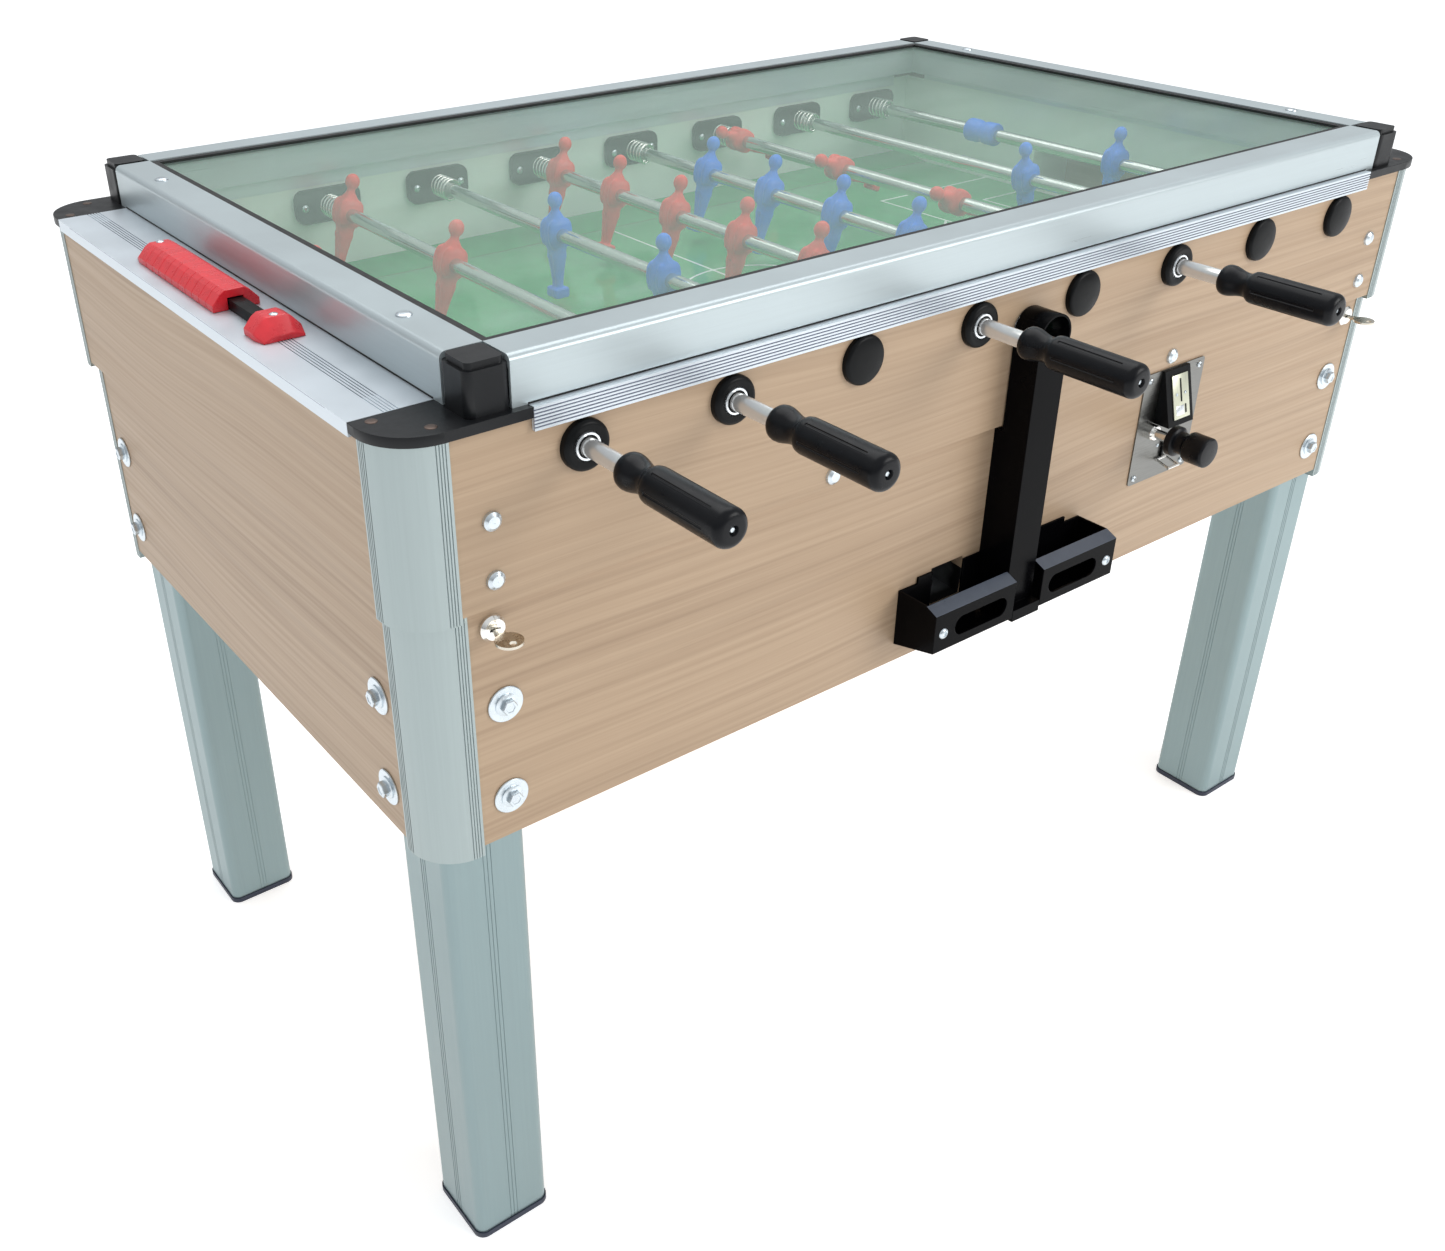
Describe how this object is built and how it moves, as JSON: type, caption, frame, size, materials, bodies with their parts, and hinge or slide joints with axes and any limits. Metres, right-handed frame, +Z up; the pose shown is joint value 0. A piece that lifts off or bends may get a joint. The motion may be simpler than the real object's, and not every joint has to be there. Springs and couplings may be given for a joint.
{
  "type": "football table",
  "caption": "Coin-operated football table: glazed playing box with telescopic player rods that lifts on rear hinges above a cabinet on four square legs.",
  "frame": {"origin": "on the floor under the middle of the table", "axes": "+X along the length of the table to the right, +Y from the front players to the rear players, +Z up"},
  "size_m": [1.394, 1.1952, 0.9745],
  "materials": {
    "metal_section": "satin grey-green powder coat",
    "foot_plastic": "moulded, matt",
    "wood_panel": "pale wood-grain foil, satin",
    "chrome_parts": "polished",
    "black_plastic": "moulded, half gloss",
    "steel_plate": "dark, fine brushed",
    "sheet_steel": "zinc plated",
    "key_metal": "nickel plated, worn",
    "lining_board": "pale grey-green laminate",
    "field_board": "green laminate with white lines",
    "rim_metal": "pale blue anodised, ribbed",
    "dark_cover": "moulded, satin",
    "lid_metal": "satin anodised",
    "gasket_rubber": "smooth",
    "clear_glass": "clear, slightly green",
    "score_red": "moulded",
    "score_blue": "moulded",
    "rod_steel": "ground",
    "rod_chrome": "polished tube with a black moulded grip",
    "player_red": "moulded",
    "player_blue": "moulded"
  },
  "bodies": {
    "cabinet": {"legs": "metal_section", "leg_feet": "foot_plastic", "lower_posts": "metal_section", "lower_panels": "wood_panel", "cabinet_floor": "wood_panel", "leg_bolts": "chrome_parts", "ball_tray": "black_plastic", "ball_column": "black_plastic", "coin_plate": "steel_plate", "coin_bezel": "black_plastic", "chrome_fittings": "chrome_parts", "cash_box": "sheet_steel", "ball_chute": "sheet_steel", "hinge_brackets": "sheet_steel"},
    "coin_plunger_body": {"coin_plunger": "black_plastic"},
    "coin_return_body": {"coin_return_loop": "chrome_parts"},
    "key_left_body": {"key_left": "key_metal"},
    "key_right_body": {"key_right": "key_metal"},
    "play_box": {"upper_panels": "wood_panel", "upper_posts": "metal_section", "inner_walls": "lining_board", "playfield": "field_board", "rim_rails": "rim_metal", "corner_covers": "dark_cover", "bearing_plates": "black_plastic", "bumper_springs": "chrome_parts", "wall_bushings": "black_plastic", "lid_rails": "lid_metal", "lid_corner_blocks": "dark_cover", "glass_gasket": "gasket_rubber", "glass_pane": "clear_glass", "rim_screws": "chrome_parts", "score_frames": "score_red", "hinge_leaves": "sheet_steel"},
    "score_left": {"score_beads_left": "score_red"},
    "score_right": {"score_beads_right": "score_blue"},
    "core_1_body": {"core_1": "rod_steel"},
    "core_2_body": {"core_2": "rod_steel"},
    "core_3_body": {"core_3": "rod_steel"},
    "core_4_body": {"core_4": "rod_steel"},
    "core_5_body": {"core_5": "rod_steel"},
    "core_6_body": {"core_6": "rod_steel"},
    "core_7_body": {"core_7": "rod_steel"},
    "core_8_body": {"core_8": "rod_steel"},
    "rod_1_body": {"rod_1": "rod_chrome", "players_1": "player_red"},
    "rod_2_body": {"rod_2": "rod_chrome", "players_2": "player_red"},
    "rod_3_body": {"rod_3": "rod_chrome", "players_3": "player_blue"},
    "rod_4_body": {"rod_4": "rod_chrome", "players_4": "player_red"},
    "rod_5_body": {"rod_5": "rod_chrome", "players_5": "player_blue"},
    "rod_6_body": {"rod_6": "rod_chrome", "players_6": "player_red"},
    "rod_7_body": {"rod_7": "rod_chrome", "players_7": "player_blue"},
    "rod_8_body": {"rod_8": "rod_chrome", "players_8": "player_blue"}
  },
  "joints": [
    {"name": "play_box_lift", "type": "hinge", "parent": "cabinet", "child": "play_box", "pos_m": [0, 0.37644, 0.768], "axis": [-1, 0, 0], "range_deg": [0, 60]},
    {"name": "coin_plunger_push", "type": "slide", "parent": "cabinet", "child": "coin_plunger_body", "axis": [0, 1, 0], "range_m": [0, 0.01], "stiffness_N_per_m": 200, "springref_m": -0.005},
    {"name": "coin_return_lift", "type": "hinge", "parent": "cabinet", "child": "coin_return_body", "pos_m": [0.2745, -0.40716, 0.649], "axis": [-1, 0, 0], "range_deg": [0, 60]},
    {"name": "key_left_turn", "type": "hinge", "parent": "cabinet", "child": "key_left_body", "pos_m": [-0.6135, -0.42356, 0.746], "axis": [0, 1, 0], "range_deg": [0, 90]},
    {"name": "key_right_turn", "type": "hinge", "parent": "cabinet", "child": "key_right_body", "pos_m": [0.6135, -0.42356, 0.746], "axis": [0, 1, 0], "range_deg": [0, 90]},
    {"name": "rod_1_turn", "type": "hinge", "parent": "play_box", "child": "core_1_body", "pos_m": [-0.525, -0.02106, 0.886], "axis": [0, 1, 0], "continuous": true},
    {"name": "rod_2_turn", "type": "hinge", "parent": "play_box", "child": "core_2_body", "pos_m": [-0.375, -0.02106, 0.886], "axis": [0, 1, 0], "continuous": true},
    {"name": "rod_3_turn", "type": "hinge", "parent": "play_box", "child": "core_3_body", "pos_m": [-0.225, -0.02106, 0.886], "axis": [0, 1, 0], "continuous": true},
    {"name": "rod_4_turn", "type": "hinge", "parent": "play_box", "child": "core_4_body", "pos_m": [-0.075, -0.02106, 0.886], "axis": [0, 1, 0], "continuous": true},
    {"name": "rod_5_turn", "type": "hinge", "parent": "play_box", "child": "core_5_body", "pos_m": [0.075, -0.02106, 0.886], "axis": [0, 1, 0], "continuous": true},
    {"name": "rod_6_turn", "type": "hinge", "parent": "play_box", "child": "core_6_body", "pos_m": [0.225, -0.02106, 0.886], "axis": [0, 1, 0], "continuous": true},
    {"name": "rod_7_turn", "type": "hinge", "parent": "play_box", "child": "core_7_body", "pos_m": [0.375, -0.02106, 0.886], "axis": [0, 1, 0], "continuous": true},
    {"name": "rod_8_turn", "type": "hinge", "parent": "play_box", "child": "core_8_body", "pos_m": [0.525, -0.02106, 0.886], "axis": [0, 1, 0], "continuous": true},
    {"name": "rod_1_slide", "type": "slide", "parent": "core_1_body", "child": "rod_1_body", "axis": [0, -1, 0], "range_m": [0, 0.16]},
    {"name": "rod_2_slide", "type": "slide", "parent": "core_2_body", "child": "rod_2_body", "axis": [0, -1, 0], "range_m": [0, 0.396]},
    {"name": "rod_3_slide", "type": "slide", "parent": "core_3_body", "child": "rod_3_body", "axis": [0, 1, 0], "range_m": [-0.01888, 0.21712]},
    {"name": "rod_4_slide", "type": "slide", "parent": "core_4_body", "child": "rod_4_body", "axis": [0, -1, 0], "range_m": [0, 0.156]},
    {"name": "rod_5_slide", "type": "slide", "parent": "core_5_body", "child": "rod_5_body", "axis": [0, 1, 0], "range_m": [-0.04212, 0.11388]},
    {"name": "rod_6_slide", "type": "slide", "parent": "core_6_body", "child": "rod_6_body", "axis": [0, -1, 0], "range_m": [0, 0.236]},
    {"name": "rod_7_slide", "type": "slide", "parent": "core_7_body", "child": "rod_7_body", "axis": [0, 1, 0], "range_m": [-0.01782, 0.37818]},
    {"name": "rod_8_slide", "type": "slide", "parent": "core_8_body", "child": "rod_8_body", "axis": [0, 1, 0], "range_m": [0, 0.16]},
    {"name": "score_left_slide", "type": "slide", "parent": "play_box", "child": "score_left", "axis": [0, -1, 0], "range_m": [0, 0.0664]},
    {"name": "score_right_slide", "type": "slide", "parent": "play_box", "child": "score_right", "axis": [0, -1, 0], "range_m": [0, 0.0664]}
  ]
}
